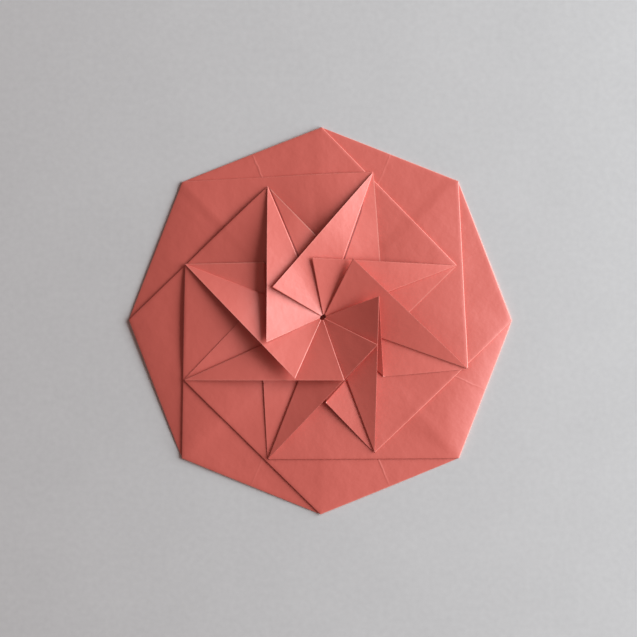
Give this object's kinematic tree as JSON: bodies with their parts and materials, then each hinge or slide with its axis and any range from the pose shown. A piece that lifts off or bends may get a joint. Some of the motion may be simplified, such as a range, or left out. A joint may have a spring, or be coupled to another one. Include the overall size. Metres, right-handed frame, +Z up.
{
  "type": "origami compass",
  "caption": "Flat paper pinwheel star folded from one octagonal sheet, with a raised spiked rosette closing over an octagonal base.",
  "frame": {"origin": "centre of the underside of the base octagon", "axes": "+Z up through the stack of layers, +X and +Y through corners of the octagon"},
  "size_m": [0.075, 0.075, 0.0034],
  "materials": {
    "paper": "matte uncoated paper, dyed salmon pink through"
  },
  "bodies": {
    "root": {"folded_sheet": "paper"}
  },
  "joints": []
}
